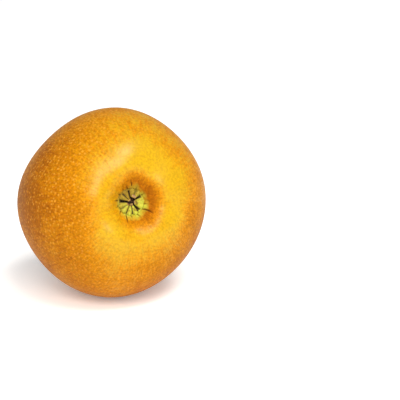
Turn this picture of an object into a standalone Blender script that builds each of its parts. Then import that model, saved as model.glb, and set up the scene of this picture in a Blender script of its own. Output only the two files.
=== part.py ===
"""A Canada reinette apple, picked and lying on its side with the eye to the front.

The pieces are modelled upright in the fruit's own frame, with the core line along +Z and the eye at the top.
An empty then lays them down together. Metres, +Z up.
"""

import math
import random

import bmesh
import bpy
import numpy as np
from mathutils import Euler, Matrix, Vector

MM = 0.001

# Fruit: the core line runs from the stalk end, below the middle plane, to the eye end, above it
FRUIT_RADIUS = 43.0 * MM
EYE_REACH = 40.0 * MM
STEM_REACH = 35.5 * MM
EYE_SQUARENESS = 2.25
STEM_SQUARENESS = 2.5

# Basin round the eye, and cavity round the stalk
BASIN_DEPTH = 12.5 * MM
BASIN_SPREAD = 10.2 * MM
BASIN_STEEPNESS = 2.0
CAVITY_DEPTH = 17.0 * MM
CAVITY_SPREAD = 10.0 * MM
CAVITY_STEEPNESS = 2.0

# Plan of the fruit, seen from the eye: bulges per turn, their share of the radius, and the angle of one of them
PLAN_WAVES = (
    (2, 0.0146, math.radians(63)),
    (3, 0.0052, math.radians(59)),
    (4, 0.0131, math.radians(-8)),
)

# Five soft ribs, strongest at the eye
RIB_COUNT = 5
RIB_ANGLE = math.radians(20)
RIB_SHARE_MIDDLE = 0.0025
RIB_SHARE_EYE = 0.018
RIB_SHARE_STEM = 0.010
RIB_FADE = 2.0

# Crests of both ends, where the ribs stand up and one side is higher
CREST_RADIUS = 18.0 * MM
CREST_SPREAD = 9.0 * MM
RIB_LIFT_EYE = 0.55 * MM
RIB_LIFT_STEM = 0.5 * MM
LEAN_LIFT = 0.8 * MM
LEAN_ANGLE = math.radians(200)
SWELL_DEPTH = 0.2 * MM
SWELL_COUNT = 3
SWELL_LENGTH = 12.0 * MM

# Pleats that run down the basin to the eye
PLEAT_COUNT = 10
PLEAT_DEPTH = 0.35 * MM
PLEAT_RADIUS = 8.5 * MM
PLEAT_SPREAD = 3.0 * MM

# Seats of the calyx and the stalk
PIT_RADIUS = 6.0 * MM
PIT_DEPTH = 3.8 * MM
SOCKET_RADIUS = 2.2 * MM
SOCKET_DEPTH = 2.4 * MM
SEAT_FADE = 4.0 * MM
GAP = 0.3 * MM

# Mesh of the fruit
PROFILE_STEPS = 54
SECTORS = 80

# How the fruit lies: the eye looks up by this angle, and a small flat spot rests on the surface
EYE_TILT = math.radians(15.5)
FRUIT_CENTRE = Vector((1.19, -0.38, 43.45)) * MM

# Calyx: a fleshy ring with five sepals that turn in over the eye and lift their tips
SEPAL_COUNT = 5
SEPAL_ANGLE = math.radians(60)
SEPAL_THICKNESS = 0.65 * MM
SEPAL_ROOT_RADIUS = 5.15 * MM
SEPAL_ROOT_DEPTH = 0.9 * MM
SEPAL_RISE = 1.1 * MM
SEPAL_REACH = 2.3 * MM
SEPAL_TIP = 1.5 * MM
SEPAL_TIP_WIDTH = 1.0 * MM
SEPAL_GAP = 0.5 * MM
SEPAL_RIDGE = 0.8 * MM
SEPAL_LEAN_IN = math.radians(97)
SEPAL_TIP_CURL = math.radians(35)
SEPAL_STEPS = 12
SEPAL_CROSS_STEPS = 8
RING_WALL = 2.3 * MM
RING_SIDES = 40

# Dried stamens inside the calyx
STAMEN_COUNT = 9
STAMEN_DISC_RADIUS = 2.9 * MM
STAMEN_DISC_HEIGHT = 1.0 * MM
STAMEN_ROOT_RADIUS = 1.5 * MM
STAMEN_LENGTH = 1.7 * MM
STAMEN_RADIUS = 0.3 * MM
ANTHER_RADIUS = 0.42 * MM
STAMEN_SIDES = 6
STAMEN_LEAN = math.radians(6)

# Stalk, short and stout
STALK_LENGTH = 13.0 * MM
STALK_RADIUS = 1.5 * MM
STALK_FOOT_RADIUS = 1.9 * MM
STALK_END_RADIUS = 2.3 * MM
STALK_BEND = 1.3 * MM
STALK_SIDES = 16
STALK_STEPS = 10

SKIN = ((0.58, 0.28, 0.01), 0.42)
SEPAL_GREEN = ((0.42, 0.38, 0.12), 0.7)
STAMEN_BROWN = ((0.20, 0.12, 0.06), 0.8)
STALK_BROWN = ((0.22, 0.14, 0.06), 0.75)


def clear_scene():
    for obj in list(bpy.data.objects):
        bpy.data.objects.remove(obj)


def material(name, look):
    colour, roughness = look
    made = bpy.data.materials.new(name)
    made.use_nodes = True
    shader = made.node_tree.nodes["Principled BSDF"]
    shader.inputs["Base Color"].default_value = (*colour, 1.0)
    shader.inputs["Roughness"].default_value = roughness
    shader.inputs["Metallic"].default_value = 0.0
    return made


def object_from(bm, name, look):
    """A new smooth-shaded object that holds a bmesh's shape and its own material."""
    mesh = bpy.data.meshes.new(name)
    bm.to_mesh(mesh)
    bm.free()
    mesh.materials.append(material(name, look))
    mesh.shade_smooth()
    mesh.set_sharp_from_angle(angle=math.radians(50))
    obj = bpy.data.objects.new(name, mesh)
    bpy.context.scene.collection.objects.link(obj)
    return obj


def eased(value):
    """A smooth step from 0 to 1."""
    value = min(max(value, 0.0), 1.0)
    return value * value * (3 - 2 * value)


def skin_curve(turn):
    """Radius and height of the round fruit's skin, at a turn down from the eye end.

    Each half is a squared ellipse, less a dimple that fades away from the core line.
    """
    up = math.cos(turn) >= 0
    reach, power = (EYE_REACH, EYE_SQUARENESS) if up else (STEM_REACH, STEM_SQUARENESS)
    depth, spread, steepness = (
        (BASIN_DEPTH, BASIN_SPREAD, BASIN_STEEPNESS)
        if up
        else (CAVITY_DEPTH, CAVITY_SPREAD, CAVITY_STEEPNESS)
    )
    radius = FRUIT_RADIUS * math.sin(turn) ** (2 / power)
    height = reach * abs(math.cos(turn)) ** (2 / power)
    height -= depth * math.exp(-((radius / spread) ** steepness))
    return radius, height if up else -height


def turn_at(radius, power):
    """The turn at which a half of the skin curve has this radius."""
    return math.asin((radius / FRUIT_RADIUS) ** (power / 2))


def evenly_spaced(points, count):
    """The same line as count points, spaced evenly along it."""
    points = np.array(points)
    steps = np.linalg.norm(np.diff(points, axis=0), axis=1)
    along = np.concatenate([[0.0], np.cumsum(steps)])
    wanted = np.linspace(0.0, along[-1], count)
    return np.stack([np.interp(wanted, along, points[:, k]) for k in (0, 1)], axis=1)


def fruit_profile():
    """Half section of the fruit, from the floor of the calyx pit to the floor of the stalk socket."""
    first = turn_at(PIT_RADIUS, EYE_SQUARENESS)
    last = math.pi - turn_at(SOCKET_RADIUS, STEM_SQUARENESS)
    skin = evenly_spaced([skin_curve(t) for t in np.linspace(first, last, 600)], PROFILE_STEPS)
    pit_floor = skin[0][1] - PIT_DEPTH
    socket_floor = skin[-1][1] + SOCKET_DEPTH
    return [
        (0.0, pit_floor),
        (PIT_RADIUS, pit_floor),
        *(tuple(point) for point in skin),
        (SOCKET_RADIUS, socket_floor),
        (0.0, socket_floor),
    ]


def swelled(radius, angle, height):
    """Moves a point of the round fruit to its oval, ribbed and uneven form. The seats stay round."""
    seat = PIT_RADIUS if height > 0 else SOCKET_RADIUS
    free = eased((radius - seat) / SEAT_FADE)
    eyeward = min(max(height / EYE_REACH, 0.0), 1.0) ** RIB_FADE
    stemward = min(max(-height / STEM_REACH, 0.0), 1.0) ** RIB_FADE
    rib = math.cos(RIB_COUNT * (angle - RIB_ANGLE))
    rib_share = (
        RIB_SHARE_MIDDLE
        + (RIB_SHARE_EYE - RIB_SHARE_MIDDLE) * eyeward
        + (RIB_SHARE_STEM - RIB_SHARE_MIDDLE) * stemward
    )
    plan = rib_share * rib
    plan += sum(share * math.cos(count * (angle - at)) for count, share, at in PLAN_WAVES)
    swell = SWELL_DEPTH * math.sin(SWELL_COUNT * angle + 1.1) * math.sin(height / SWELL_LENGTH + 0.6)
    crest = math.exp(-(((radius - CREST_RADIUS) / CREST_SPREAD) ** 2))
    if height > 0:
        pleat = math.exp(-(((radius - PLEAT_RADIUS) / PLEAT_SPREAD) ** 2))
        lift = crest * (RIB_LIFT_EYE * rib + LEAN_LIFT * math.cos(angle - LEAN_ANGLE))
        lift += PLEAT_DEPTH * pleat * math.cos(PLEAT_COUNT * angle + math.sin(2 * angle))
    else:
        lift = -crest * (RIB_LIFT_STEM * rib + LEAN_LIFT * math.sin(angle - LEAN_ANGLE))
    return radius * (1 + free * plan) + free * swell, height + free * lift


def lying_matrix():
    """Lays the upright fruit down, with the eye to the front and tilted up."""
    turned = Euler((math.pi / 2 - EYE_TILT, 0.0, 0.0)).to_matrix().to_4x4()
    return Matrix.Translation(FRUIT_CENTRE) @ turned


def build_fruit():
    bm = bmesh.new()
    line = [bm.verts.new((radius, 0.0, height)) for radius, height in fruit_profile()]
    edges = [bm.edges.new(pair) for pair in zip(line, line[1:])]
    bmesh.ops.spin(
        bm,
        geom=line + edges,
        cent=(0, 0, 0),
        axis=(0, 0, 1),
        angle=math.tau,
        steps=SECTORS,
        use_merge=True,
    )
    bmesh.ops.remove_doubles(bm, verts=bm.verts, dist=0.001 * MM)
    for vertex in bm.verts:
        x, y, height = vertex.co
        angle = math.atan2(y, x)
        radius, height = swelled(math.hypot(x, y), angle, height)
        vertex.co = (radius * math.cos(angle), radius * math.sin(angle), height)
    cut_flat_spot(bm)
    bmesh.ops.recalc_face_normals(bm, faces=bm.faces)
    return object_from(bm, "fruit", SKIN)


def cut_flat_spot(bm):
    """Cuts the lying fruit level with the surface that it rests on, and closes the cut."""
    upright = lying_matrix().inverted()
    cut = bmesh.ops.bisect_plane(
        bm,
        geom=[*bm.verts, *bm.edges, *bm.faces],
        plane_co=upright @ Vector((0, 0, 0)),
        plane_no=upright.to_3x3() @ Vector((0, 0, 1)),
        clear_inner=True,
    )
    rim = [item for item in cut["geom_cut"] if isinstance(item, bmesh.types.BMEdge)]
    bmesh.ops.edgeloop_fill(bm, edges=rim)


def seat_heights():
    """Heights of the calyx pit's lip and floor, and of the stalk socket's floor."""
    profile = fruit_profile()
    return profile[2][1], profile[0][1], profile[-1][1]


def tube_into(bm, path, radii, sides):
    """Adds a closed round tube along a path, with a radius at each of its points."""
    rings = []
    for index, (point, radius) in enumerate(zip(path, radii)):
        onward = (path[min(index + 1, len(path) - 1)] - path[max(index - 1, 0)]).normalized()
        across = Vector((0, 1, 0)).cross(onward).normalized() * radius
        other = onward.cross(across)
        turns = (math.tau * k / sides for k in range(sides))
        rings.append([bm.verts.new(point + across * math.cos(a) + other * math.sin(a)) for a in turns])
    for low, high in zip(rings, rings[1:]):
        for k in range(sides):
            bm.faces.new((low[k], low[(k + 1) % sides], high[(k + 1) % sides], high[k]))
    bm.faces.new(reversed(rings[0]))
    bm.faces.new(rings[-1])


def join_with(base, pieces):
    """Fuses the pieces into the base with one Boolean union, and removes them."""
    group = bpy.data.collections.new(base.name + "_pieces")
    bpy.context.scene.collection.children.link(group)
    for piece in pieces:
        bpy.context.scene.collection.objects.unlink(piece)
        group.objects.link(piece)
    union = base.modifiers.new("join", "BOOLEAN")
    union.operation = "UNION"
    union.operand_type = "COLLECTION"
    union.collection = group
    graph = bpy.context.evaluated_depsgraph_get()
    joined = bpy.data.meshes.new_from_object(base.evaluated_get(graph))
    base.modifiers.clear()
    base.data = joined
    for piece in list(group.objects):
        bpy.data.objects.remove(piece)
    bpy.data.collections.remove(group)


def sepal_line():
    """Radius, height, lean and tip share of points along the middle of a sepal.

    It stands up from the ring, turns in nearly level towards the core line, and its tip lifts a little.
    """
    lip, _, _ = seat_heights()
    radius, height = SEPAL_ROOT_RADIUS, lip - GAP - SEPAL_ROOT_DEPTH
    length = SEPAL_RISE + SEPAL_REACH + SEPAL_TIP
    line = []
    for step in range(SEPAL_STEPS + 1):
        way = length * step / SEPAL_STEPS
        tip_share = eased((way - SEPAL_RISE - SEPAL_REACH) / SEPAL_TIP)
        lean = (SEPAL_LEAN_IN + SEPAL_TIP_CURL) * tip_share - SEPAL_LEAN_IN * eased(way / (1.35 * SEPAL_RISE))
        line.append((radius, height, lean, tip_share))
        radius += length / SEPAL_STEPS * math.sin(lean)
        height += length / SEPAL_STEPS * math.cos(lean)
    return line


def build_sepal(angle):
    """One sepal: a blade that keeps to its share of the circle, with two low ridges and a groove between them."""
    outward = Vector((math.cos(angle), math.sin(angle), 0.0))
    sideways = Vector((-math.sin(angle), math.cos(angle), 0.0))
    bm = bmesh.new()
    rows = []
    for radius, height, lean, tip_share in sepal_line():
        room = math.sin(math.pi / SEPAL_COUNT) * radius - SEPAL_GAP / 2
        half_width = max(room, SEPAL_TIP_WIDTH / 2)
        ridge = SEPAL_RIDGE * (half_width / SEPAL_ROOT_RADIUS) ** 2 * (1 - tip_share)
        back = outward * math.cos(lean) - Vector((0, 0, math.sin(lean)))
        row = []
        for q in np.linspace(-1, 1, SEPAL_CROSS_STEPS + 1):
            aside = half_width * q
            bow = radius - math.sqrt(radius**2 - aside**2)
            raised = -ridge * math.cos(math.tau * q)
            middle = outward * (radius - bow) + Vector((0, 0, height))
            row.append(bm.verts.new(middle + sideways * aside + back * raised))
        rows.append(row)
    for low, high in zip(rows, rows[1:]):
        for k in range(SEPAL_CROSS_STEPS):
            bm.faces.new((low[k], low[k + 1], high[k + 1]))
            bm.faces.new((low[k], high[k + 1], high[k]))
    blade = object_from(bm, "sepal", SEPAL_GREEN)
    wall = blade.modifiers.new("wall", "SOLIDIFY")
    wall.thickness = SEPAL_THICKNESS
    wall.offset = 0.0
    return blade


def build_calyx():
    """The fleshy ring that fills the pit, with the sepals rooted in it."""
    lip, floor, _ = seat_heights()
    outer = PIT_RADIUS - GAP
    inner = outer - RING_WALL
    section = [(outer, floor + GAP), (outer, lip - GAP), (inner, lip - GAP), (inner, floor + GAP)]
    bm = bmesh.new()
    corners = [bm.verts.new((radius, 0.0, height)) for radius, height in section]
    edges = [bm.edges.new(pair) for pair in zip(corners, corners[1:] + corners[:1])]
    bmesh.ops.spin(
        bm,
        geom=corners + edges,
        cent=(0, 0, 0),
        axis=(0, 0, 1),
        angle=math.tau,
        steps=RING_SIDES,
        use_merge=True,
    )
    bmesh.ops.recalc_face_normals(bm, faces=bm.faces)
    ring = object_from(bm, "calyx", SEPAL_GREEN)
    turns = (SEPAL_ANGLE + math.tau * k / SEPAL_COUNT for k in range(SEPAL_COUNT))
    join_with(ring, [build_sepal(turn) for turn in turns])
    return ring


def build_stamen(angle, length, lean):
    """One stamen: a filament that leans out and ends in a knobbed anther."""
    _, floor, _ = seat_heights()
    outward = Vector((math.cos(angle), math.sin(angle), 0.0))
    root = outward * STAMEN_ROOT_RADIUS + Vector((0, 0, floor + GAP + STAMEN_DISC_HEIGHT / 2))
    shares = (0.0, 0.4, 0.74, 0.84, 0.96, 1.0)
    thickness = (1.0, 0.85, 0.8, 1.0, 1.0, 0.5)
    radii = [(STAMEN_RADIUS if s < 0.8 else ANTHER_RADIUS) * t for s, t in zip(shares, thickness)]
    path = []
    for share in shares:
        out = outward * (length * share * math.sin(lean) * (0.5 + 0.5 * share))
        path.append(root + out + Vector((0, 0, length * share * math.cos(lean))))
    bm = bmesh.new()
    tube_into(bm, path, radii, STAMEN_SIDES)
    return object_from(bm, "stamen", STAMEN_BROWN)


def build_stamens():
    """The dried tuft: a small disc on the pit's floor, with the stamens in a ring on it."""
    _, floor, _ = seat_heights()
    low = Vector((0, 0, floor + GAP))
    bm = bmesh.new()
    tube_into(bm, [low, low + Vector((0, 0, STAMEN_DISC_HEIGHT))], [STAMEN_DISC_RADIUS] * 2, RING_SIDES // 2)
    disc = object_from(bm, "stamens", STAMEN_BROWN)
    draw = random.Random(7)
    stamens = []
    for k in range(STAMEN_COUNT):
        turn = math.tau * (k + draw.uniform(-0.12, 0.12)) / STAMEN_COUNT
        length = STAMEN_LENGTH * draw.uniform(0.85, 1.0)
        stamens.append(build_stamen(turn, length, STAMEN_LEAN * draw.uniform(0.8, 1.1)))
    join_with(disc, stamens)
    return disc


def build_stalk():
    """The stalk: rooted in the socket, bent a little, and swollen where it left the tree."""
    _, _, socket = seat_heights()
    root = Vector((0, 0, socket - GAP))
    path, radii = [], []
    for share in np.linspace(0, 1, STALK_STEPS + 1):
        path.append(root + Vector((STALK_BEND * share**2, -0.4 * STALK_BEND * share, -STALK_LENGTH * share)))
        foot = (STALK_FOOT_RADIUS - STALK_RADIUS) * math.exp(-((share / 0.18) ** 2))
        knob = (STALK_END_RADIUS - STALK_RADIUS) * math.exp(-(((1 - share) / 0.16) ** 2))
        radii.append(STALK_RADIUS + foot + knob)
    path.append(path[-1] + Vector((0, 0, -0.03 * STALK_LENGTH)))
    radii.append(0.72 * STALK_END_RADIUS)
    bm = bmesh.new()
    tube_into(bm, path, radii, STALK_SIDES)
    return object_from(bm, "stalk", STALK_BROWN)


def main():
    clear_scene()
    pieces = [build_fruit(), build_calyx(), build_stamens(), build_stalk()]
    apple = bpy.data.objects.new("apple", None)
    bpy.context.scene.collection.objects.link(apple)
    apple.matrix_world = lying_matrix()
    for piece in pieces:
        piece.parent = apple


main()
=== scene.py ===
"""A Canada reinette apple as it looks: golden skin with russet and lenticels, dry sepals and a woody stalk.

The apple lies on its side. Each piece is worked out upright in the fruit's own frame, with the core line
along +Z and the eye at the top, as radius, angle and height, and is then laid down as the CAD part is.
"""

import math

import bpy
import numpy as np
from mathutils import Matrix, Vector


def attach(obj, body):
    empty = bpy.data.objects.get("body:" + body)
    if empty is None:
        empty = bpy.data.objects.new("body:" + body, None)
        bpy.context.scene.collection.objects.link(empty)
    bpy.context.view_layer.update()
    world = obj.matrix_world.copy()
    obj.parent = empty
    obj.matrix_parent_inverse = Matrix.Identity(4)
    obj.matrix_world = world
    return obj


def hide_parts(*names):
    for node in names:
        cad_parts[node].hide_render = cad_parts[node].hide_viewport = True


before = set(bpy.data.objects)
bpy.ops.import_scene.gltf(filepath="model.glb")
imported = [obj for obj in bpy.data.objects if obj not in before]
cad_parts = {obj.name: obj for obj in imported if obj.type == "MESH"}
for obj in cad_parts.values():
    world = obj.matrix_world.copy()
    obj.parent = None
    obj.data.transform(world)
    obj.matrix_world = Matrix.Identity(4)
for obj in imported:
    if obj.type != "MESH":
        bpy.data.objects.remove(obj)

MM = 0.001

# Fruit, with the CAD part's numbers
FRUIT_RADIUS = 43.0 * MM
EYE_REACH = 40.0 * MM
STEM_REACH = 35.5 * MM
EYE_SQUARENESS = 2.25
STEM_SQUARENESS = 2.5
BASIN_DEPTH = 12.5 * MM
BASIN_SPREAD = 10.2 * MM
BASIN_STEEPNESS = 2.0
CAVITY_DEPTH = 17.0 * MM
CAVITY_SPREAD = 10.0 * MM
CAVITY_STEEPNESS = 2.0
PLAN_WAVES = (
    (2, 0.0146, math.radians(63)),
    (3, 0.0052, math.radians(59)),
    (4, 0.0131, math.radians(-8)),
)
RIB_COUNT = 5
RIB_ANGLE = math.radians(20)
RIB_SHARE_MIDDLE = 0.0025
RIB_SHARE_EYE = 0.018
RIB_SHARE_STEM = 0.010
RIB_FADE = 2.0
CREST_RADIUS = 18.0 * MM
CREST_SPREAD = 9.0 * MM
RIB_LIFT_EYE = 0.55 * MM
RIB_LIFT_STEM = 0.5 * MM
LEAN_LIFT = 0.8 * MM
LEAN_ANGLE = math.radians(200)
SWELL_DEPTH = 0.2 * MM
SWELL_COUNT = 3
SWELL_LENGTH = 12.0 * MM
PLEAT_COUNT = 10
PLEAT_DEPTH = 0.35 * MM
PLEAT_RADIUS = 8.5 * MM
PLEAT_SPREAD = 3.0 * MM
PIT_RADIUS = 6.0 * MM
PIT_DEPTH = 3.8 * MM
LIP_ROUND = 0.35 * MM
SOCKET_RADIUS = 2.2 * MM
SOCKET_DEPTH = 2.4 * MM
SEAT_FADE = 4.0 * MM
GAP = 0.3 * MM
EYE_TILT = math.radians(15.5)
FRUIT_CENTRE = np.array((1.19, -0.38, 43.45)) * MM

# Angles round the fruit, counter-clockwise from its right as seen from the eye, at which each colouring peaks
GOLD_SIDE = math.radians(55)
UNDER_SIDE = math.radians(-120)
RUSSET_SIDE = math.radians(165)
LINING_SIDE = math.radians(5)
HALO_SIDE = math.radians(-65)
STREAK_SIDE = math.radians(78)
LENTICEL_SIDE = math.radians(135)

# Russet: how much of it each term adds, and where, as lengths along the skin from the pit or as radii
RISE_SHARE = 0.5
RISE_ZONE = (15 * MM, 29 * MM)
DRIFT_SHARE = 0.28
DRIFT_START = 24 * MM
DRIFT_LENGTH = 26 * MM
OVAL_SHARE = 0.07
GOLD_SHARE = 0.22
UNDER_SHARE = 0.2
SIDE_ZONE = (4 * MM, 20 * MM)
RIDGE_SHARE = 0.26
RIDGE_PLACE = 18.5 * MM
RIDGE_SPREAD = 6 * MM
LINING_SHARE = 0.95
LINING_LEAST = 0.28
LINING_GROWTH = 0.95
LINING_RADIUS = 8.5 * MM
LINING_SPREAD = 4.8 * MM

# Radii over which the green halo and the cavity's cork end, and the lenticels set in
HALO_ZONE = (5.6 * MM, 10.2 * MM)
CAVITY_ZONE = (9 * MM, 24 * MM)
LENTICEL_ZONE = (9 * MM, 24 * MM)
FRESH_GREEN = "B6B83C"

# Mesh of the skin, whose rows lie closer together near the ends, and the wrinkles round the eye
SKIN_ROWS = 236
SKIN_COLUMNS = 396
FINE_STEPS = 6000
END_CROWDING = 1.6
END_ZONE = 15 * MM
WRINKLE_DEPTH = 0.06 * MM
WRINKLE_RADIUS = 7.5 * MM
WRINKLE_SPREAD = 3.2 * MM

# Creases that run out from the eye: angle, inner and outer end, width and depth
FAR = 1e3
CREASES = (
    (math.radians(-38), 5.0 * MM, 11.4 * MM, 0.36 * MM, 0.50 * MM),
    (math.radians(-117), 6.2 * MM, 10.4 * MM, 0.30 * MM, 0.30 * MM),
    (math.radians(84), 6.9 * MM, 10.4 * MM, 0.28 * MM, 0.25 * MM),
    (math.radians(24), 5.0 * MM, 7.8 * MM, 0.28 * MM, 0.40 * MM),
    (math.radians(60), 5.0 * MM, 8.2 * MM, 0.28 * MM, 0.40 * MM),
    (math.radians(98), 5.0 * MM, 8.8 * MM, 0.32 * MM, 0.45 * MM),
    (math.radians(116), 5.0 * MM, 8.4 * MM, 0.30 * MM, 0.40 * MM),
    (math.radians(140), 5.0 * MM, 8.0 * MM, 0.28 * MM, 0.40 * MM),
    (math.radians(166), 5.0 * MM, 9.0 * MM, 0.32 * MM, 0.45 * MM),
    (math.radians(188), 5.0 * MM, 8.4 * MM, 0.32 * MM, 0.40 * MM),
    (math.radians(212), 5.0 * MM, 8.6 * MM, 0.32 * MM, 0.40 * MM),
    (math.radians(262), 5.0 * MM, 8.0 * MM, 0.28 * MM, 0.40 * MM),
    (math.radians(290), 5.0 * MM, 8.4 * MM, 0.28 * MM, 0.40 * MM),
    (math.radians(344), 5.0 * MM, 8.0 * MM, 0.28 * MM, 0.35 * MM),
)

# Camera and light: distances in metres, and turns from the front to the right as seen from the apple
SCALE_MM_PER_PIXEL = 0.4650
CAMERA_DISTANCE = 0.72
CAMERA_TURN = math.radians(-16.2)
CAMERA_RISE = math.radians(16)
APPLE_PIXEL = (112.3, 201.0)
IMAGE_SIDE = 400
SENSOR_WIDTH = 36.0
SKY_LIGHT = 0.38
TABLE_GLOW = 0.2
TABLE_HALF = 6.0
LIGHT_COLOUR = (1.0, 0.985, 0.96)
# Name, turn, rise, distance, width, depth and power in watts
LIGHTS = (
    ("front_softbox", math.radians(-13), math.radians(34), 2.2, 1.20, 1.10, 39.0),
    ("overhead_softbox", math.radians(17), math.radians(60), 2.5, 1.30, 0.70, 40.0),
)


def linear(code):
    """A colour's sRGB hex code as linear red, green, blue and alpha."""
    parts = [int(code[k : k + 2], 16) / 255 for k in (0, 2, 4)]
    return (*(p / 12.92 if p <= 0.04045 else ((p + 0.055) / 1.055) ** 2.4 for p in parts), 1.0)


def smooth(low, high, value):
    """0 below low and 1 above high, with a smooth step between."""
    share = np.clip((value - low) / (high - low), 0, 1)
    return share * share * (3 - 2 * share)


def bell(value, width):
    """1 at zero, fading to both sides over the width as exp(-x²)."""
    return np.exp(-((value / width) ** 2))


def across(angle, middle, radius):
    """How far a point is to one side of a line out from the core line: its radius times a sine.

    On the line's other half the point counts as far away.
    """
    return radius * np.sin(angle - middle) + FAR * (np.cos(angle - middle) < 0)


# Meshes


def laid_down(radius, angle, height):
    """The places of points given upright as radius, angle and height, once the fruit lies on its side."""
    x, up = radius * np.cos(angle), radius * np.sin(angle)
    sine, cosine = math.sin(EYE_TILT), math.cos(EYE_TILT)
    places = (x, up * sine - height * cosine, up * cosine + height * sine)
    return np.stack(np.broadcast_arrays(*places), axis=-1) + FRUIT_CENTRE


def turned_from(points):
    """Radius, angle and height from points given upright as x, y and height."""
    x, y, height = np.moveaxis(points, -1, 0)
    return np.hypot(x, y), np.arctan2(y, x), height


def outward(points, quads):
    """The quads, turned round where they enclose a negative volume, summed as pyramids from their middle."""
    a, b, c, d = np.moveaxis((points - points.mean(0))[quads], 1, 0)
    volume = (a * (np.cross(b, c) + np.cross(c, d))).sum()
    return quads if volume > 0 else quads[:, ::-1]


def grid_faces(rows, columns, closed_rows):
    """Quads of a grid whose columns close round, and whose rows may close round too."""
    row = np.arange(rows if closed_rows else rows - 1)[:, None]
    column = np.arange(columns)[None, :]
    below, after = (row + 1) % rows, (column + 1) % columns
    corners = (row * columns + column, below * columns + column, below * columns + after, row * columns + after)
    return np.stack(corners, -1).reshape(-1, 4)


def pole_faces(columns, ring, pole):
    """Triangles from the ring of vertices that starts at this one to a pole, as quads with a doubled corner."""
    around = np.arange(columns)
    return np.stack([ring + around, ring + (around + 1) % columns, 0 * around + pole, 0 * around + pole], -1)


def closed_faces(grid):
    """Quads of a grid that ends in a pole at each side. The poles are the two vertices after its own."""
    rows, columns = grid.shape[:2]
    quads = grid_faces(rows, columns, False)
    first = pole_faces(columns, 0, rows * columns)
    last = pole_faces(columns, (rows - 1) * columns, rows * columns + 1)[:, [1, 0, 2, 3]]
    fans = np.concatenate([first, last])
    poles = np.stack([grid[0].mean(0), grid[-1].mean(0)])
    points = np.concatenate([grid.reshape(-1, 3), poles])
    turned = outward(points, quads)
    return points, turned, fans if turned is quads else fans[:, [1, 0, 2, 3]]


def dressed(name, points, faces, made_of, stands_for):
    """A smooth piece of the object, none of it below the floor, from upright points and faces."""
    places = laid_down(*turned_from(points))
    places[:, 2] = np.maximum(places[:, 2], 0)
    mesh = bpy.data.meshes.new(name)
    mesh.from_pydata(places.tolist(), [], faces)
    mesh.shade_smooth()
    mesh.materials.append(made_of)
    piece = bpy.data.objects.new(name, mesh)
    bpy.context.scene.collection.objects.link(piece)
    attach(piece, "root")
    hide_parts(stands_for)
    return piece


def noted(piece, notes):
    """Writes a value or a vector at each of a piece's vertices, for its material to read."""
    for key, field in notes.items():
        kind, name = ("FLOAT", "value") if field.ndim == 1 else ("FLOAT_VECTOR", "vector")
        piece.data.attributes.new(key, kind, "POINT").data.foreach_set(name, field.astype(np.float32).ravel())


def piece_of(name, grids, notes, made_of, stands_for):
    """One smooth piece from closed grids of upright points, with a named value at each point.

    A grid is rows by columns by x, y and height. Its first and last rows close to poles at their middles.
    """
    points, faces, first = [], [], 0
    values = {key: [] for key in notes}
    for index, grid in enumerate(grids):
        rows, columns = grid.shape[:2]
        places, quads, fans = closed_faces(grid)
        points.append(places)
        faces += (quads + first).tolist() + (fans[:, :3] + first).tolist()
        first += len(places)
        for key, given in notes.items():
            field = np.broadcast_to(given[index], (rows, columns) + np.shape(given[index])[2:])
            ends = np.stack([field[0].mean(0), field[-1].mean(0)])
            values[key].append(np.concatenate([field.reshape((-1,) + field.shape[2:]), ends]))
    piece = dressed(name, np.concatenate(points), faces, made_of, stands_for)
    noted(piece, {key: np.concatenate(parts) for key, parts in values.items()})
    return piece


# Fruit


def skin_curve(turn):
    """Radius and height of the round fruit's skin, at turns down from the eye end.

    Each half is a squared ellipse, less a dimple that fades away from the core line as a bell.
    """
    up = np.cos(turn) >= 0
    reach = np.where(up, EYE_REACH, STEM_REACH)
    power = np.where(up, EYE_SQUARENESS, STEM_SQUARENESS)
    radius = FRUIT_RADIUS * np.sin(turn) ** (2 / power)
    height = reach * np.abs(np.cos(turn)) ** (2 / power)
    basin = BASIN_DEPTH * np.exp(-((radius / BASIN_SPREAD) ** BASIN_STEEPNESS))
    cavity = CAVITY_DEPTH * np.exp(-((radius / CAVITY_SPREAD) ** CAVITY_STEEPNESS))
    return radius, np.where(up, height - basin, cavity - height)


def seat_turns():
    """Turns down from the eye end at which the skin meets the calyx pit and the stalk socket."""
    pit = math.asin((PIT_RADIUS / FRUIT_RADIUS) ** (EYE_SQUARENESS / 2))
    socket = math.pi - math.asin((SOCKET_RADIUS / FRUIT_RADIUS) ** (STEM_SQUARENESS / 2))
    return pit, socket


def seat_heights():
    """Heights of the calyx pit's lip, its floor, the stalk socket's floor and its lip."""
    lip, mouth = skin_curve(np.array(seat_turns()))[1]
    return lip, lip - PIT_DEPTH, mouth + SOCKET_DEPTH, mouth


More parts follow.
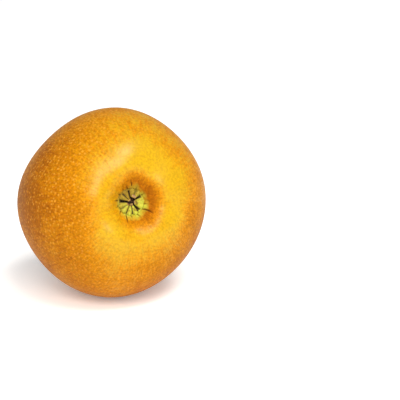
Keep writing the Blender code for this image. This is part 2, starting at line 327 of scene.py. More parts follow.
def fruit_profile(count):
    """Radius, height and length along the skin of a half section, from the pit's floor to the socket's floor.

    The points lie evenly along the skin, but closer together near both ends. The pit's lip is rounded down by
    an amount that falls off as exp(-x) away from it.
    """
    radius, height = skin_curve(np.linspace(*seat_turns(), FINE_STEPS))
    step = np.hypot(np.diff(radius), np.diff(height))
    middle = (radius[1:] + radius[:-1]) / 2
    weight = step * (1 + END_CROWDING * bell(middle, END_ZONE))
    along = np.concatenate([[0.0], np.cumsum(weight)])
    wanted = np.linspace(0, along[-1], count)
    length = np.interp(wanted, along, np.concatenate([[0.0], np.cumsum(step)]))
    radius, height = np.interp(wanted, along, radius), np.interp(wanted, along, height)
    height = height - LIP_ROUND * np.exp((PIT_RADIUS - radius) / LIP_ROUND) * (height > 0)
    lip, floor, root, mouth = seat_heights()
    lip -= LIP_ROUND

    # The pit's floor and wall come before the skin, and the socket's wall and floor after it
    out = np.array([0.3, 0.6, 0.9, 1.0])
    up = np.array([0.25, 0.5, 0.75])
    pit_wall, socket_wall = floor + (lip - floor) * up, mouth + (root - mouth) * up
    lines = (
        (PIT_RADIUS * out, PIT_RADIUS + 0 * up, radius, SOCKET_RADIUS + 0 * up, SOCKET_RADIUS * out[::-1]),
        (floor + 0 * out, pit_wall, height, socket_wall, root + 0 * out),
        (0 * out, 0 * up, length, length[-1] + 0 * up, length[-1] + 0 * out),
    )
    return [np.concatenate(parts) for parts in lines]


def crease_field(radius, angle):
    """1 along the middle of each crease, fading to both sides as a bell, and its depth in metres.

    A crease wavers: its angle changes as a sine of the radius. It starts and ends with a smooth step.
    """
    mark, depth = 0.0, 0.0
    for middle, inner, outer, width, deep in CREASES:
        bend = middle + 0.10 * np.sin((radius - inner) / (2.2 * MM))
        begun = smooth(inner - 0.4 * MM, inner + 0.4 * MM, radius)
        ended = smooth(outer - 2.4 * MM, outer, radius)
        line = bell(across(angle, bend, radius), width) * (begun * (1 - ended))
        mark = np.maximum(mark, line)
        depth = np.maximum(depth, deep * line)
    return mark, depth


def swelled(radius, angle, height):
    """The oval, ribbed and uneven form of the round fruit, as the CAD part has it. The seats stay round.

    The radius is multiplied by 1 plus cosines of the angle, of which the five ribs grow towards both ends. The
    height is lifted round the crests by the ribs and a lean, and round the eye by pleats.
    """
    seat = np.where(height > 0, PIT_RADIUS, SOCKET_RADIUS)
    free = smooth(0, SEAT_FADE, radius - seat)
    eyeward = np.clip(height / EYE_REACH, 0, 1) ** RIB_FADE
    stemward = np.clip(-height / STEM_REACH, 0, 1) ** RIB_FADE
    rib = np.cos(RIB_COUNT * (angle - RIB_ANGLE))
    plan = (
        RIB_SHARE_MIDDLE
        + (RIB_SHARE_EYE - RIB_SHARE_MIDDLE) * eyeward
        + (RIB_SHARE_STEM - RIB_SHARE_MIDDLE) * stemward
    ) * rib
    plan += sum(share * np.cos(count * (angle - at)) for count, share, at in PLAN_WAVES)
    swell = SWELL_DEPTH * np.sin(SWELL_COUNT * angle + 1.1) * np.sin(height / SWELL_LENGTH + 0.6)
    crest = bell(radius - CREST_RADIUS, CREST_SPREAD)
    pleat = PLEAT_DEPTH * bell(radius - PLEAT_RADIUS, PLEAT_SPREAD)
    pleat = pleat * np.cos(PLEAT_COUNT * angle + np.sin(2 * angle))
    eye_lift = crest * (RIB_LIFT_EYE * rib + LEAN_LIFT * np.cos(angle - LEAN_ANGLE)) + pleat
    stem_lift = -crest * (RIB_LIFT_STEM * rib + LEAN_LIFT * np.sin(angle - LEAN_ANGLE))
    lift = np.where(height > 0, eye_lift, stem_lift)
    return radius * (1 + free * plan) + free * swell, height + free * lift


def russet_cover(radius, angle, length, at_eye):
    """How much russet covers the skin, from 0 to about 1.

    It rises along the skin in a smooth step and then evenly. It is weaker on the golden side and underneath,
    by powers of the cosine of the angle from there, and a ridge of it, a bell, lies on the crest of the russet
    side. A lining of it, another bell, rings the basin, and is faint on the side away from LINING_SIDE.
    """
    drift = np.clip((length - DRIFT_START) / DRIFT_LENGTH, 0, 1)
    spread = RISE_SHARE * smooth(*RISE_ZONE, length) + DRIFT_SHARE * drift
    side = OVAL_SHARE * np.cos(2 * (angle - RUSSET_SIDE)) - GOLD_SHARE * np.cos(angle - GOLD_SIDE)
    side = side - UNDER_SHARE * np.maximum(0, np.cos(angle - UNDER_SIDE)) ** 3
    ridge = RIDGE_SHARE * np.maximum(0, np.cos(angle - RUSSET_SIDE)) ** 1.5
    ridge = ridge * bell(length - RIDGE_PLACE, RIDGE_SPREAD)
    strength = LINING_LEAST + LINING_GROWTH * (0.5 + 0.5 * np.cos(angle - LINING_SIDE)) ** 0.8
    lining = LINING_SHARE * strength * bell(radius - LINING_RADIUS, LINING_SPREAD) * at_eye
    return spread + side * smooth(*SIDE_ZONE, length) + ridge + lining


def green_and_painted_light(grid):
    """How green the skin and the calyx are at the eye, from 0 to 1: a cosine that peaks on HALO_SIDE.

    This is partly their own green and partly painted light: greener and lighter on the lit lower side of the
    eye, duller on its shaded upper side.
    """
    turn = np.arctan2(grid[..., 1], grid[..., 0])
    return np.clip(0.6 + 0.55 * np.cos(turn - HALO_SIDE), 0, 1)


def build_fruit(made_of):
    """The skin: the CAD part's form on a fine grid, with creases and small wrinkles that run out from the eye.

    The wrinkles are waves round the eye, of three unrelated counts, that fade out by the crest of the basin.
    The halo is 1 less a smooth step of the radius. The lenticels follow the cosine of the angle from
    LENTICEL_SIDE.
    """
    radius, height, length = (line[:, None] for line in fruit_profile(SKIN_ROWS))
    angle = np.linspace(0, math.tau, SKIN_COLUMNS, endpoint=False)[None, :]
    full_radius, full_height = swelled(radius, angle, height)
    mark, depth = crease_field(radius, angle)
    at_eye = height > 0
    near_eye = at_eye * smooth(0, 0.8 * MM, radius - PIT_RADIUS)
    wrinkle = np.sin(23 * angle + 1.3 * np.sin(3 * angle))
    wrinkle = wrinkle + 0.6 * np.sin(41 * angle + 2) + 0.5 * np.sin(9 * angle + 0.7)
    wrinkle = wrinkle * WRINKLE_DEPTH * bell(radius - WRINKLE_RADIUS, WRINKLE_SPREAD)
    full_height = full_height + near_eye * (wrinkle - depth)
    grid = np.stack([full_radius * np.cos(angle), full_radius * np.sin(angle), full_height + 0 * angle], -1)
    along = np.stack(np.broadcast_arrays(np.cos(angle), np.sin(angle), length / FRUIT_RADIUS), -1)

    # The halo's edge is wavy, closer in on the shaded upper side away from HALO_SIDE, which is partly painted
    # shade, and runs out in one streak
    edge = 0.5 + 0.7 * (1 - np.cos(angle - HALO_SIDE)) + 0.2 * np.sin(7 * angle + 1)
    edge = edge - 1.6 * bell(1 - np.cos(angle - STREAK_SIDE), 0.06)
    halo = at_eye * (1 - smooth(*HALO_ZONE, radius + edge * MM))
    sown = 0.6 + 0.4 * np.cos(angle - LENTICEL_SIDE)
    lenticels = sown * np.where(at_eye, smooth(*LENTICEL_ZONE, radius), 1.0)
    notes = {
        "meridian": [along],
        "russet": [russet_cover(radius, angle, length, at_eye)],
        "halo": [halo],
        "green": [green_and_painted_light(grid)],
        "lenticels": [lenticels],
        # How much painted shade each crease gets
        "crease": [mark * at_eye],
        "cavity": [(1 - smooth(*CAVITY_ZONE, radius)) * ~at_eye],
    }
    return piece_of("apple_skin", [grid], notes, made_of, "fruit")


# Calyx


SEPAL_COUNT = 5
SEPAL_ANGLE = math.radians(60)
SEPAL_THICKNESS = 0.55 * MM
SEPAL_ROOT_RADIUS = 5.75 * MM
SEPAL_ROOT_DEPTH = 0.9 * MM
SEPAL_GAP = 0.12 * MM
SEPAL_LEAST_RADIUS = 1.6 * MM
SEPAL_RIDGE = 1.3 * MM
SEPAL_RISE = 1.1 * MM
SEPAL_LEAN_IN = math.radians(98)
# Each sepal's reach inwards, tip length, curl of the tip, sideways bend, depth of the groove and lift
SEPALS = (
    (2.6 * MM, 3.0 * MM, math.radians(200), -0.06, 0.8, 0.25 * MM),
    (3.9 * MM, 1.2 * MM, math.radians(20), -0.06, 1.0, 0.0),
    (3.0 * MM, 1.4 * MM, math.radians(30), 0.04, 0.8, 0.25 * MM),
    (4.0 * MM, 2.0 * MM, math.radians(170), 0.05, 1.0, -0.1 * MM),
    (3.2 * MM, 1.2 * MM, math.radians(10), 0.05, 0.4, -0.15 * MM),
)
SEPAL_ROWS = 48
SEPAL_COLUMNS = 44
SEPAL_JITTER = 0.07
SEPAL_SEED = 4
RING_WALL = 2.3 * MM
RING_DROP = 0.3 * MM
RING_SLOPE = 1.0 * MM
RING_LOBE = 0.3 * MM
RING_ROWS = 24
RING_COLUMNS = 120


def sepal_line(reach, tip, curl, count):
    """Radius, height and lean of one sepal's middle line, and how far along its tip each point is.

    It stands up from the ring, turns in nearly level towards the core line, and its tip curls up and back.
    """
    length = SEPAL_RISE + reach + tip
    way = np.linspace(0, length, count)
    lean = -SEPAL_LEAN_IN * smooth(0, 1.35 * SEPAL_RISE, way)
    lean = lean + (SEPAL_LEAN_IN + curl) * smooth(length - 1.25 * tip, length, way)
    step = length / (count - 1)
    radius = SEPAL_ROOT_RADIUS + step * np.concatenate([[0.0], np.cumsum(np.sin(lean[:-1]))])
    rise = step * np.concatenate([[0.0], np.cumsum(np.cos(lean[:-1]))])
    height = seat_heights()[0] - SEPAL_ROOT_DEPTH + rise
    return way, radius, height, lean, smooth(length - 1.3 * tip, length, way)


def sepal_grid(angle, reach, tip, curl, bend, groove, lift):
    """One sepal: a thin blade as wide as its share of the circle, with two ridges and a groove between them.

    It is a flat oval section carried along the middle line. Across it, with u from -1 to 1, the height over
    that line is the ridge times 1 - 2 · cos(pi · u)^2, and the blade bows in as an arc round the core line.
    """
    way, radius, height, lean, tipped = sepal_line(reach, tip, curl, SEPAL_ROWS)
    turn = np.linspace(0, math.tau, SEPAL_COLUMNS, endpoint=False)[None, :]
    u = np.cos(turn)
    room = math.sin(math.pi / SEPAL_COUNT) * np.maximum(radius, SEPAL_LEAST_RADIUS) - SEPAL_GAP
    narrowed = np.sqrt(np.clip((1.015 * way[-1] - way) / (0.05 * way[-1]), 0, 1))
    half_width = room * (1 - 0.5 * tipped) * narrowed
    ridge = SEPAL_RIDGE * (half_width / SEPAL_ROOT_RADIUS) ** 1.5 * (1 - 0.6 * tipped)
    valley = np.where(np.abs(u) < 0.5, groove, 1.0)
    wave = 1 - 2 * valley * np.cos(math.pi * u) ** 2
    thinned = np.sqrt(np.clip((1.02 * way[-1] - way) / (0.06 * way[-1]), 0, 1))
    half_thickness = SEPAL_THICKNESS / 2 * (1 - 0.35 * tipped) * thinned
    out = ridge[:, None] * wave + half_thickness[:, None] * np.sin(turn)
    turned = angle + bend * (way / way[-1]) ** 2
    away = np.stack([np.cos(turned), np.sin(turned), 0 * turned], -1)
    sideways = np.stack([-np.sin(turned), np.cos(turned), 0 * turned], -1)
    upward = np.array([0.0, 0.0, 1.0])
    back = away * np.cos(lean)[:, None] - upward * np.sin(lean)[:, None]
    lifted = height + lift * smooth(0, SEPAL_RISE, way)
    middle = away * radius[:, None] + upward * lifted[:, None]
    aside = half_width[:, None] * u
    bowed = (radius[:, None] - np.sqrt(radius[:, None] ** 2 - aside**2)) * (1 - tipped)[:, None]
    grid = middle[:, None] + aside[..., None] * sideways[:, None] + out[..., None] * back[:, None]
    grid = grid - bowed[..., None] * away[:, None]
    # Painted shade: darkest at the blade's edges and along its groove, where the slits between the sepals and
    # the folds lie
    open_part = smooth(0.2 * SEPAL_RISE, 1.1 * SEPAL_RISE, way) * (1 - tipped)
    painted_fold_shade = valley * np.abs(np.cos(math.pi * u)) ** 5 * open_part[:, None]
    fibre = np.stack(np.broadcast_arrays(u * half_width[:, None] / MM, way[:, None] / MM, angle), -1)
    return grid, np.broadcast_to(tipped[:, None], grid.shape[:2]), painted_fold_shade, fibre


def squared(wave):
    """A sine or cosine whose rounded crests are flattened, by its square root, to draw a rounded square."""
    return np.sign(wave) * np.abs(wave) ** 0.5


def ring_grid():
    """The fleshy ring under the sepals: a rounded square section carried round the core line.

    Its top slopes in, and is lobed by a cosine with two waves to a sepal.
    """
    lip, floor = seat_heights()[:2]
    outer, inner = PIT_RADIUS + 0.5 * MM, PIT_RADIUS - GAP - RING_WALL
    turn = np.linspace(0, math.tau, RING_ROWS, endpoint=False)[:, None]
    angle = np.linspace(0, math.tau, RING_COLUMNS, endpoint=False)[None, :]
    radius = (outer + inner) / 2 + (outer - inner) / 2 * squared(np.cos(turn))
    top, low = lip - RING_DROP - RING_SLOPE * smooth(5.6 * MM, 4.2 * MM, radius), floor + GAP
    height = (top + low) / 2 + (top - low) / 2 * squared(np.sin(turn))
    lobes = RING_LOBE * np.cos(2 * SEPAL_COUNT * (angle - SEPAL_ANGLE) + math.pi)
    lobes = lobes * smooth(0.2, 1, np.sin(turn))
    return np.stack(np.broadcast_arrays(radius * np.cos(angle), radius * np.sin(angle), height + lobes), -1)


def ring_piece(name, grid, notes, made_of):
    """A piece of the calyx from a grid that closes on itself both ways."""
    points = grid.reshape(-1, 3)
    faces = outward(points, grid_faces(*grid.shape[:2], True)).tolist()
    piece = dressed(name, points, faces, made_of, "calyx")
    values = {}
    for key, field in notes.items():
        rest = field.shape[2:]
        values[key] = np.broadcast_to(field, grid.shape[:2] + rest).reshape((-1,) + rest)
    noted(piece, values)
    return piece


def build_calyx(made_of):
    """The five sepals, each a little off its even place, and the ring that they stand on."""
    draw = np.random.default_rng(SEPAL_SEED)
    grids, notes = [], {"share": [], "painted_fold_shade": [], "fibre": [], "green": []}
    for k, sepal in enumerate(SEPALS):
        angle = SEPAL_ANGLE + math.tau * k / SEPAL_COUNT + draw.uniform(-SEPAL_JITTER, SEPAL_JITTER)
        grid, share, painted_fold_shade, fibre = sepal_grid(angle, *sepal)
        grids.append(grid)
        for key, field in zip(notes, (share, painted_fold_shade, fibre, green_and_painted_light(grid))):
            notes[key].append(field)
    piece_of("sepals", grids, notes, made_of, "calyx")
    ring = ring_grid()
    # Painted shade down the ring's inner side, in the pit under the sepals
    painted_pit_shade = smooth(5.6 * MM, 4.6 * MM, np.hypot(ring[..., 0], ring[..., 1]))
    notes = {"share": np.zeros((1, 1)), "painted_fold_shade": painted_pit_shade, "fibre": ring / MM, "green": green_and_painted_light(ring)}
    ring_piece("calyx_ring", ring, notes, made_of)


# Stamens and stalk


STAMEN_COUNT = 9
STAMEN_DISC_RADIUS = 2.9 * MM
STAMEN_DISC_HEIGHT = 1.0 * MM
STAMEN_ROOT_RADIUS = 1.5 * MM
STAMEN_LENGTH = 1.7 * MM
STAMEN_RADIUS = 0.3 * MM
STAMEN_LEAN = math.radians(6)
STAMEN_ROWS = 16
STAMEN_COLUMNS = 10
STAMEN_DISC_COLUMNS = 40
STAMEN_SEED = 7
ANTHER_RADIUS = 0.42 * MM
STALK_LENGTH = 13.0 * MM
STALK_RADIUS = 1.5 * MM
STALK_FOOT_RADIUS = 1.9 * MM
STALK_END_RADIUS = 2.3 * MM
STALK_BEND = 1.3 * MM
STALK_RIDGE = 0.07 * MM
STALK_ROWS = 90
STALK_COLUMNS = 48


def tube_grid(path, radius, columns, relief=0):
    """A round section of changing radius, plus a relief of rows by columns, carried along a path."""
    onward = np.gradient(path, axis=0)
    onward /= np.linalg.norm(onward, axis=1, keepdims=True)
    side = np.cross(np.array([0.0, 1.0, 0.0]), onward)
    side /= np.linalg.norm(side, axis=1, keepdims=True)
    other = np.cross(onward, side)
    turn = np.linspace(0, math.tau, columns, endpoint=False)[None, :]
    wide = radius[:, None] + relief
    aside = (wide * np.cos(turn))[..., None] * side[:, None]
    return path[:, None, :] + aside + (wide * np.sin(turn))[..., None] * other[:, None]


def build_stamens(made_of):
    """A small disc with a ring of dried filaments: straight tubes that each end in a bell-shaped anther."""
    floor = seat_heights()[1] + GAP
    draw = np.random.default_rng(STAMEN_SEED)
    rim = np.array([0.5, 0.9, 1.0, 1.0, 0.9, 0.5]) * STAMEN_DISC_RADIUS
    rise = np.array([0.0, 0.0, 0.08, 0.92, 1.0, 1.0]) * STAMEN_DISC_HEIGHT + floor
    turn = np.linspace(0, math.tau, STAMEN_DISC_COLUMNS, endpoint=False)[None, :]
    x, y = rim[:, None] * np.cos(turn), rim[:, None] * np.sin(turn)
    grids = [np.stack(np.broadcast_arrays(x, y, rise[:, None]), -1)]
    share = np.linspace(0, 1, STAMEN_ROWS)
    anther = (ANTHER_RADIUS - 0.8 * STAMEN_RADIUS) * bell(share - 0.86, 0.12)
    swelling = STAMEN_RADIUS * (1 - 0.2 * share) + anther
    swelling *= np.sqrt(np.clip((1.01 - share) / 0.08, 0, 1))
    for k in range(STAMEN_COUNT):
        angle = math.tau * (k + draw.uniform(-0.1, 0.1)) / STAMEN_COUNT
        length = STAMEN_LENGTH * draw.uniform(0.85, 1.0)
        lean = STAMEN_LEAN * draw.uniform(0.5, 1.2)
        radius = STAMEN_ROOT_RADIUS + length * share * math.sin(lean)
        height = floor + STAMEN_DISC_HEIGHT / 2 + length * share * math.cos(lean)
        path = np.stack([radius * math.cos(angle), radius * math.sin(angle), height], -1)
        grids.append(tube_grid(path, swelling, STAMEN_COLUMNS))
    return piece_of("stamens_dried", grids, {}, made_of, "stamens")


def build_stalk(made_of):
    """The stalk: thick at its foot, ridged along its length, and swollen at the end that left the tree.

    Its path bends aside as the square of the way along it. Foot and end swell as bells, and the ridges are two
    waves round it.
    """
    root = seat_heights()[2] - GAP
    share = np.linspace(0, 1.03, STALK_ROWS)
    path = np.stack([STALK_BEND * share**2, -0.4 * STALK_BEND * share, root - STALK_LENGTH * share], -1)
    foot = (STALK_FOOT_RADIUS - STALK_RADIUS) * bell(share, 0.18)
    knob = (STALK_END_RADIUS - STALK_RADIUS) * bell(1 - share, 0.16)
    radius = STALK_RADIUS + foot + knob
    radius = radius * np.sqrt(np.clip((1.035 - share) / 0.05, 0, 1))
    turn = np.linspace(0, math.tau, STALK_COLUMNS, endpoint=False)[None, :]
    ridges = STALK_RIDGE * (np.sin(7 * turn) + 0.6 * np.sin(12 * turn + 9 * share[:, None]))
    ridges = ridges * smooth(0.1, 0.3, share)[:, None]
    grid = tube_grid(path, radius - 0.1 * MM, STALK_COLUMNS, ridges)
    along = np.broadcast_to(share[:, None], grid.shape[:2])
    return piece_of("stalk_woody", [grid], {"share": [along]}, made_of, "stalk")


# Materials


def add(tree, kind, inputs=None, stops=None, **settings):
    """Adds a node. An input is given by its name or number, as a constant or as the output that feeds it."""
    made = tree.nodes.new("ShaderNode" + kind)
    for name, value in settings.items():
        setattr(made, name, value)
    for name, value in (inputs or {}).items():
        if isinstance(value, bpy.types.NodeSocket):
            tree.links.new(value, made.inputs[name])
        else:
            made.inputs[name].default_value = value
    if stops:
        ramp = made.color_ramp.elements
        while len(ramp) < len(stops):
            ramp.new(0.5)
        for spot, (place, colour) in zip(ramp, stops):
            spot.position = place
            spot.color = colour
    return made


def blank(name):
    """An empty material and its tree."""
    made = bpy.data.materials.new(name)
    made.use_nodes = True
    tree = made.node_tree
    tree.nodes.clear()
    return made, tree


def grey(level):
    """A grey of this linear level as red, green, blue and alpha."""
    return (level, level, level, 1.0)


def waxy_skin():
    """Waxy apple skin over juicy flesh: a satin gold that russet, a dry cork layer, breaks into orange-brown.

    Lenticels are pale cork dots about a millimetre across. Streaks follow the lines from the eye to the stalk.
    """
    made, tree = blank("apple_skin_waxy_russeted")
    place = add(tree, "TexCoord").outputs["Object"]
    russet = add(tree, "Attribute", attribute_name="russet").outputs["Fac"]
    along = add(tree, "Attribute", attribute_name="meridian").outputs["Vector"]
    halo = add(tree, "Attribute", attribute_name="halo").outputs["Fac"]
    crease = add(tree, "Attribute", attribute_name="crease").outputs["Fac"]
    cavity = add(tree, "Attribute", attribute_name="cavity").outputs["Fac"]

    # Clouds of russet about 20 mm across, blotches about 4 mm across, streaks 1.4 mm wide and 8 mm long, and
    # dashes 0.6 mm wide and 2.5 mm long
    cloud = add(tree, "TexNoise", {"Vector": place, "Scale": 50.0, "Detail": 2.0, "Roughness": 0.5})
    blotch = add(tree, "TexNoise", {"Vector": place, "Scale": 240.0, "Detail": 3.0, "Roughness": 0.6})
    stretch = add(tree, "Mapping", {"Vector": along, "Scale": (9.0, 9.0, 1.6)})
    streaky = {"Vector": stretch.outputs[0], "Scale": 3.4, "Detail": 3.0, "Roughness": 0.65}
    streak = add(tree, "TexNoise", streaky)
    shrink = add(tree, "Mapping", {"Vector": along, "Scale": (22.0, 22.0, 5.0)})
    dash = add(tree, "TexNoise", {"Vector": shrink.outputs[0], "Scale": 3.4, "Detail": 2.0, "Roughness": 0.6})
    cover = russet
    for field, strength in ((cloud, 0.95), (blotch, 0.45), (streak, 0.75), (dash, 0.7)):
        push = add(tree, "Math", {0: field.outputs[0], 1: 0.5}, operation="SUBTRACT")
        pushed = add(tree, "Math", {0: push.outputs[0], 1: strength, 2: cover}, operation="MULTIPLY_ADD")
        cover = pushed.outputs[0]
    ground = add(
        tree,
        "ValToRGB",
        {0: cover},
        stops=(
            (0.0, linear("BD9106")),
            (0.22, linear("BD8705")),
            (0.44, linear("BB7905")),
            (0.66, linear("B16F05")),
            (0.88, linear("AA6505")),
            (1.0, linear("9A5705")),
        ),
    )

    # Mottling of the skin's own cells, drawn at about 1 mm so that it shows
    grain = add(tree, "TexNoise", {"Vector": place, "Scale": 950.0, "Detail": 2.0, "Roughness": 0.6})
    grain_tone = add(tree, "ValToRGB", {0: grain.outputs[0]}, stops=((0.3, grey(0.72)), (0.7, grey(1.26))))
    grain_share = add(tree, "MapRange", {"Value": cover, "From Max": 0.6, "To Min": 0.6})
    mottled = add(
        tree,
        "Mix",
        {0: grain_share.outputs[0], 6: ground.outputs[0], 7: grain_tone.outputs[0]},
        data_type="RGBA",
        blend_type="MULTIPLY",
    )

    # Lenticels about a millimetre across and 1.6 mm apart, some faint, clearer where the russet is stronger
    cells = add(tree, "TexVoronoi", {"Vector": place, "Scale": 620.0, "Randomness": 0.9})
    dot = add(tree, "MapRange", {"Value": cells.outputs["Distance"], "From Min": 0.42, "From Max": 0.16})
    clear_range = {"Value": cover, "From Min": 0.05, "From Max": 0.6, "To Min": 0.15, "To Max": 0.8}
    clear = add(tree, "MapRange", clear_range)
    varied = add(tree, "MapRange", {"Value": cells.outputs["Color"], "To Min": 0.3})
    sown = add(tree, "Attribute", attribute_name="lenticels").outputs["Fac"]
    picked = add(tree, "Math", {0: clear.outputs[0], 1: varied.outputs[0]}, operation="MULTIPLY")
    shown = add(tree, "Math", {0: picked.outputs[0], 1: sown}, operation="MULTIPLY")
    dot_share = add(tree, "Math", {0: dot.outputs[0], 1: shown.outputs[0]}, operation="MULTIPLY")
    dot_mix = {0: dot_share.outputs[0], 6: mottled.outputs[2], 7: linear("DC9836")}
    dotted = add(tree, "Mix", dot_mix, data_type="RGBA")

    # Skin that stayed green and smooth in the basin, in patches about 2.4 mm across, and dark brown painted
    # shade in the creases
    # The olive-brown to green mix is partly the skin's own green and partly painted light, greener on the lit
    # lower side of the eye
    green = add(tree, "Attribute", attribute_name="green").outputs["Fac"]
    halo_colour = add(tree, "Mix", {0: green, 6: linear("A6801F"), 7: linear(FRESH_GREEN)}, data_type="RGBA")
    halo_noise = add(tree, "TexNoise", {"Vector": place, "Scale": 420.0, "Detail": 2.0})
    halo_share = add(tree, "Math", {0: halo, 1: halo_noise.outputs[0]}, operation="MULTIPLY")
    halo_amount = add(tree, "MapRange", {"Value": halo_share.outputs[0], "From Min": 0.08, "From Max": 0.46})
    halo_mix = {0: halo_amount.outputs[0], 6: dotted.outputs[2], 7: halo_colour.outputs[2]}
    haloed = add(tree, "Mix", halo_mix, data_type="RGBA")
    crease_shaded = add(tree, "Mix", {0: crease, 6: haloed.outputs[2], 7: linear("542E07")}, data_type="RGBA")

    # Rays of olive-brown cork that run out of the stalk's cavity, about 1.8 mm wide at its rim, and its scales,
    # about 0.4 mm wide and 6 mm long
    ray = add(tree, "TexNoise", {"Vector": stretch.outputs[0], "Scale": 1.1, "Detail": 4.0, "Roughness": 0.7})
    ray_push = add(tree, "Math", {0: ray.outputs[0], 1: 0.5}, operation="SUBTRACT")
    cavity_share = add(tree, "Math", {0: ray_push.outputs[0], 1: 2.2, 2: cavity}, operation="MULTIPLY_ADD")
    cavity_range = {"Value": cavity_share.outputs[0], "From Min": 0.25, "From Max": 1.05, "To Max": 0.7}
    cavity_amount = add(tree, "MapRange", cavity_range)
    scaly = add(tree, "TexNoise", {"Vector": stretch.outputs[0], "Scale": 4.5, "Detail": 4.0, "Roughness": 0.7})
    scaly_stops = ((0.36, linear("5F5320")), (0.5, linear("826B28")), (0.62, linear("A87A33")))
    cavity_cork = add(tree, "ValToRGB", {0: scaly.outputs[0]}, stops=scaly_stops)
    cavity_mix = {0: cavity_amount.outputs[0], 6: crease_shaded.outputs[2], 7: cavity_cork.outputs[0]}
    coloured = add(tree, "Mix", cavity_mix, data_type="RGBA")

    # The wax shines where the skin is golden. Russet is dry and rough
    rough = add(tree, "MapRange", {"Value": cover, "To Min": 0.42, "To Max": 0.6})
    wax = add(tree, "MapRange", {"Value": cover, "From Max": 0.6, "To Min": 0.44, "To Max": 0.0})
    relief = add(tree, "Math", {0: grain.outputs[0], 1: 0.5, 2: dot_share.outputs[0]}, operation="MULTIPLY_ADD")
    bump = add(tree, "Bump", {"Height": relief.outputs[0], "Strength": 0.5, "Distance": 0.12 * MM})
    shader = add(
        tree,
        "BsdfPrincipled",
        {
            "Base Color": coloured.outputs[2],
            "Roughness": rough.outputs[0],
            "Normal": bump.outputs[0],
            "IOR": 1.45,
            "Specular IOR Level": 0.05,
            "Coat Weight": wax.outputs[0],
            "Coat Roughness": 0.32,
            "Coat Normal": bump.outputs[0],
            "Subsurface Weight": 0.06,
            "Subsurface Radius": (1.0, 0.45, 0.12),
            "Subsurface Scale": 1.2 * MM,
            "Sheen Weight": 0.05,
            "Sheen Roughness": 0.35,
            "Sheen Tint": linear("FFF4E0"),
        },
    )
    add(tree, "OutputMaterial", {0: shader.outputs[0]})
    return made


def dried_sepal():
    """Sepals withered on the tree: leathery green-tan backs with fine ribs and pinkish tips.

    Dark brown painted shade lies in their folds and in the slits between them.
    """
    made, tree = blank("sepal_withered")
    place = add(tree, "TexCoord").outputs["Object"]
    share = add(tree, "Attribute", attribute_name="share").outputs["Fac"]
    painted_fold_shade = add(tree, "Attribute", attribute_name="painted_fold_shade").outputs["Fac"]
    blade = add(tree, "Attribute", attribute_name="fibre").outputs["Vector"]

    # Ribs about 0.4 mm apart that run along the blade, spots about 1 mm across and smudges about 1.6 mm across
    lie = add(tree, "Mapping", {"Vector": blade, "Scale": (2.2, 0.25, 1.0)})
    rib = add(tree, "TexNoise", {"Vector": lie.outputs[0], "Scale": 1.0, "Detail": 2.0, "Roughness": 0.6})
    spot = add(tree, "TexNoise", {"Vector": blade, "Scale": 0.9, "Detail": 2.0})
    push = add(tree, "Math", {0: rib.outputs[0], 1: 0.42}, operation="SUBTRACT")
    ribbed = add(tree, "Math", {0: push.outputs[0], 1: 0.9, 2: share}, operation="MULTIPLY_ADD")
    spot_push = add(tree, "Math", {0: spot.outputs[0], 1: 0.5}, operation="SUBTRACT")
    spot_sum = {0: spot_push.outputs[0], 1: 0.9, 2: ribbed.outputs[0]}
    spotted = add(tree, "Math", spot_sum, operation="MULTIPLY_ADD")
    colour = add(
        tree,
        "ValToRGB",
        {0: spotted.outputs[0]},
        stops=(
            (0.0, linear("836719")),
            (0.3, linear("A3822C")),
            (0.55, linear("A98744")),
            (0.8, linear("A48256")),
            (1.0, linear("825E3F")),
        ),
    )
    fresh = add(tree, "MapRange", {"Value": spotted.outputs[0], "From Min": 0.6, "From Max": 0.0})
    # The green is partly the sepals' own and partly painted light, greener on the lit lower side of the eye
    green = add(tree, "Attribute", attribute_name="green").outputs["Fac"]
    smudge = add(tree, "TexNoise", {"Vector": place, "Scale": 620.0, "Detail": 3.0, "Roughness": 0.6})
    clean_range = {"Value": smudge.outputs[0], "From Min": 0.38, "From Max": 0.52, "To Min": 0.3}
    clean = add(tree, "MapRange", clean_range)
    green_share = add(tree, "Math", {0: green, 1: fresh.outputs[0]}, operation="MULTIPLY")
    green_part = add(tree, "Math", {0: green_share.outputs[0], 1: clean.outputs[0]}, operation="MULTIPLY")
    green_mix = {0: green_part.outputs[0], 6: colour.outputs[0], 7: linear(FRESH_GREEN)}
    greened = add(tree, "Mix", green_mix, data_type="RGBA")
    soot_range = {"Value": smudge.outputs[0], "From Min": 0.44, "From Max": 0.3, "To Max": 0.75}
    soot = add(tree, "MapRange", soot_range)
    soot_mix = {0: soot.outputs[0], 6: greened.outputs[2], 7: linear("544513")}
    sooted = add(tree, "Mix", soot_mix, data_type="RGBA")
    # Painted shade, dark brown, in the folds and slits between the sepals and down the ring's inner side
    painted_shade_share = add(tree, "MapRange", {"Value": painted_fold_shade, "From Min": 0.25, "From Max": 0.95})
    fold_shade_mix = {0: painted_shade_share.outputs[0], 6: sooted.outputs[2], 7: linear("291806")}
    fold_shaded = add(tree, "Mix", fold_shade_mix, data_type="RGBA")
    bump = add(tree, "Bump", {"Height": rib.outputs[0], "Strength": 0.6, "Distance": 0.12 * MM})
    shader = add(
        tree,
        "BsdfPrincipled",
        {
            "Base Color": fold_shaded.outputs[2],
            "Roughness": 0.75,
            "Normal": bump.outputs[0],
            "IOR": 1.45,
            "Specular IOR Level": 0.2,
        },
    )
    add(tree, "OutputMaterial", {0: shader.outputs[0]})
    return made


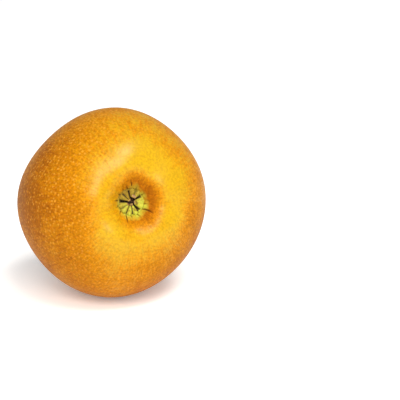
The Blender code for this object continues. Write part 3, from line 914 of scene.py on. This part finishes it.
def dried_stamen():
    """Stamens dried to dark brown threads, matte, with a mottling of about 0.8 mm."""
    made, tree = blank("stamen_dried")
    place = add(tree, "TexCoord").outputs["Object"]
    fibre = add(tree, "TexNoise", {"Vector": place, "Scale": 1200.0, "Detail": 2.0})
    fibre_stops = ((0.3, linear("271607")), (0.7, linear("573A1B")))
    colour = add(tree, "ValToRGB", {0: fibre.outputs[0]}, stops=fibre_stops)
    shader = add(tree, "BsdfPrincipled", {"Base Color": colour.outputs[0], "Roughness": 0.85, "IOR": 1.45})
    add(tree, "OutputMaterial", {0: shader.outputs[0]})
    return made


def woody_stalk():
    """A woody stalk: matte brown bark, its grain 0.7 by 6 mm, and a corky end in grains of 1.1 mm."""
    made, tree = blank("stalk_bark")
    place = add(tree, "TexCoord").outputs["Object"]
    share = add(tree, "Attribute", attribute_name="share").outputs["Fac"]
    lie = add(tree, "Mapping", {"Vector": place, "Rotation": (-EYE_TILT, 0.0, 0.0), "Scale": (1.0, 0.12, 1.0)})
    bark = add(tree, "TexNoise", {"Vector": lie.outputs[0], "Scale": 1500.0, "Detail": 4.0, "Roughness": 0.6})
    colour = add(
        tree,
        "ValToRGB",
        {0: bark.outputs[0]},
        stops=((0.3, linear("442C12")), (0.55, linear("735429")), (0.75, linear("967B4B"))),
    )
    cork = add(tree, "TexNoise", {"Vector": place, "Scale": 900.0, "Detail": 3.0, "Roughness": 0.7})
    cork_stops = ((0.35, linear("4A3419")), (0.55, linear("6F5430")), (0.7, linear("8A6E45")))
    pith = add(tree, "ValToRGB", {0: cork.outputs[0]}, stops=cork_stops)
    tip = add(tree, "MapRange", {"Value": share, "From Min": 0.9, "From Max": 1.0})
    ended = add(tree, "Mix", {0: tip.outputs[0], 6: colour.outputs[0], 7: pith.outputs[0]}, data_type="RGBA")
    bump = add(tree, "Bump", {"Height": bark.outputs[0], "Strength": 0.6, "Distance": 0.15 * MM})
    finish = {"Base Color": ended.outputs[2], "Roughness": 0.78, "Normal": bump.outputs[0], "IOR": 1.45}
    shader = add(tree, "BsdfPrincipled", finish)
    add(tree, "OutputMaterial", {0: shader.outputs[0]})
    return made


def plain_floor():
    """Matte white acrylic, lit softly from below, as on a product table."""
    made, tree = blank("acrylic_table_matte")
    shader = add(
        tree,
        "BsdfPrincipled",
        {
            "Base Color": grey(1.0),
            "Roughness": 0.95,
            "Specular IOR Level": 0.1,
            "Emission Color": grey(1.0),
            "Emission Strength": TABLE_GLOW,
        },
    )
    add(tree, "OutputMaterial", {0: shader.outputs[0]})
    return made


# Stage


def build_stage():
    """A level floor, square, with the apple at its middle."""
    mesh = bpy.data.meshes.new("floor")
    corners = [(TABLE_HALF * x, TABLE_HALF * y, 0) for x, y in ((-1, -1), (1, -1), (1, 1), (-1, 1))]
    mesh.from_pydata(corners, [], [(0, 1, 2, 3)])
    mesh.materials.append(plain_floor())
    floor = bpy.data.objects.new("floor", mesh)
    bpy.context.scene.collection.objects.link(floor)


def pointed(obj, place, target):
    """Links a light or camera to the scene, at a place and aimed at a target."""
    obj.location = place
    obj.rotation_euler = (target - place).to_track_quat("-Z", "Y").to_euler()
    bpy.context.scene.collection.objects.link(obj)


def toward(turn, rise):
    """The direction from the apple to something at this turn, from the front to the right, and rise."""
    return Vector((math.sin(turn) * math.cos(rise), -math.cos(turn) * math.cos(rise), math.sin(rise)))


def build_light():
    """Softboxes in front and overhead, in a pale, even surrounding."""
    middle = Vector(FRUIT_CENTRE.tolist())
    for name, turn, rise, distance, width, depth, power in LIGHTS:
        light = bpy.data.lights.new(name, "AREA")
        light.shape = "RECTANGLE"
        light.size, light.size_y = width, depth
        light.energy = power
        light.color = LIGHT_COLOUR
        pointed(bpy.data.objects.new(name, light), middle + toward(turn, rise) * distance, middle)
    world = bpy.data.worlds.new("studio")
    world.use_nodes = True
    world.node_tree.nodes.clear()
    sky = add(world.node_tree, "Background", {"Color": grey(1.0), "Strength": SKY_LIGHT})
    add(world.node_tree, "OutputWorld", {0: sky.outputs[0]})
    bpy.context.scene.world = world


def build_camera():
    """The camera sees the apple left of the middle of a square image, so it is aimed to the apple's right."""
    middle = Vector(FRUIT_CENTRE.tolist())
    back = toward(CAMERA_TURN, CAMERA_RISE)
    right = Vector((math.cos(CAMERA_TURN), math.sin(CAMERA_TURN), 0.0))
    up = back.cross(right)
    aside = (IMAGE_SIDE / 2 - APPLE_PIXEL[0]) * SCALE_MM_PER_PIXEL * MM
    above = (APPLE_PIXEL[1] - IMAGE_SIDE / 2) * SCALE_MM_PER_PIXEL * MM
    camera = bpy.data.cameras.new("camera")
    camera.sensor_width = SENSOR_WIDTH
    camera.lens = SENSOR_WIDTH * CAMERA_DISTANCE / (IMAGE_SIDE * SCALE_MM_PER_PIXEL * MM)
    camera.clip_end = 50.0
    holder = bpy.data.objects.new("camera", camera)
    pointed(holder, middle + back * CAMERA_DISTANCE, middle + right * aside + up * above)
    bpy.context.scene.camera = holder


def main():
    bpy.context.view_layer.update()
    build_fruit(waxy_skin())
    build_calyx(dried_sepal())
    build_stamens(dried_stamen())
    build_stalk(woody_stalk())
    build_stage()
    build_light()
    build_camera()
    bpy.context.scene.view_settings.view_transform = "Standard"


main()
